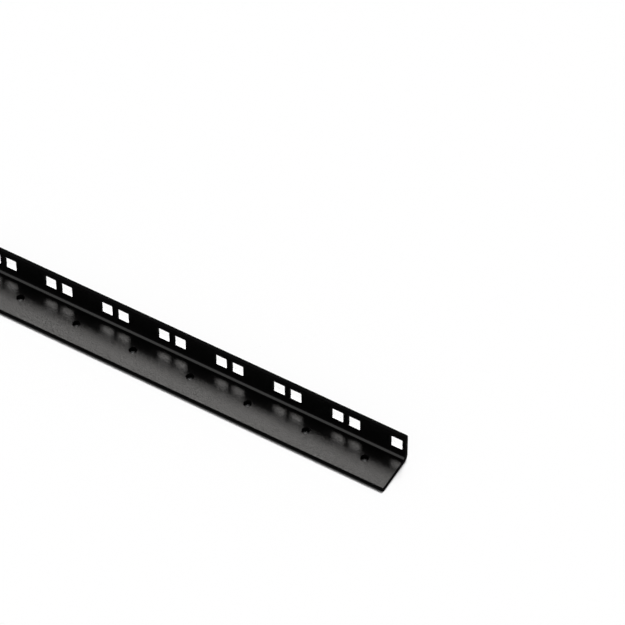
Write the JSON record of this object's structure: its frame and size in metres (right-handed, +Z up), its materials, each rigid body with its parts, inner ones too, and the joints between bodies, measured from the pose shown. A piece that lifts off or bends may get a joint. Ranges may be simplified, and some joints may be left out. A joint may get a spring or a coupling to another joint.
{
  "type": "rack rail",
  "caption": "Steel angle rail for equipment racks: square cage-nut holes in pairs along the upright leaf, round screw holes along the wider leaf it lies on.",
  "frame": {"origin": "middle of the rail's length and width, on the floor it lies on", "axes": "+X along the rail, +Y out of the punched leaf's outer face, +Z up out of the wider leaf, on whose outer face the rail lies"},
  "size_m": [0.3576, 0.032, 0.0245],
  "materials": {
    "black_powder_coat": "fine-textured satin black powder coat"
  },
  "bodies": {
    "root": {"rack_rail": "black_powder_coat"}
  },
  "joints": []
}
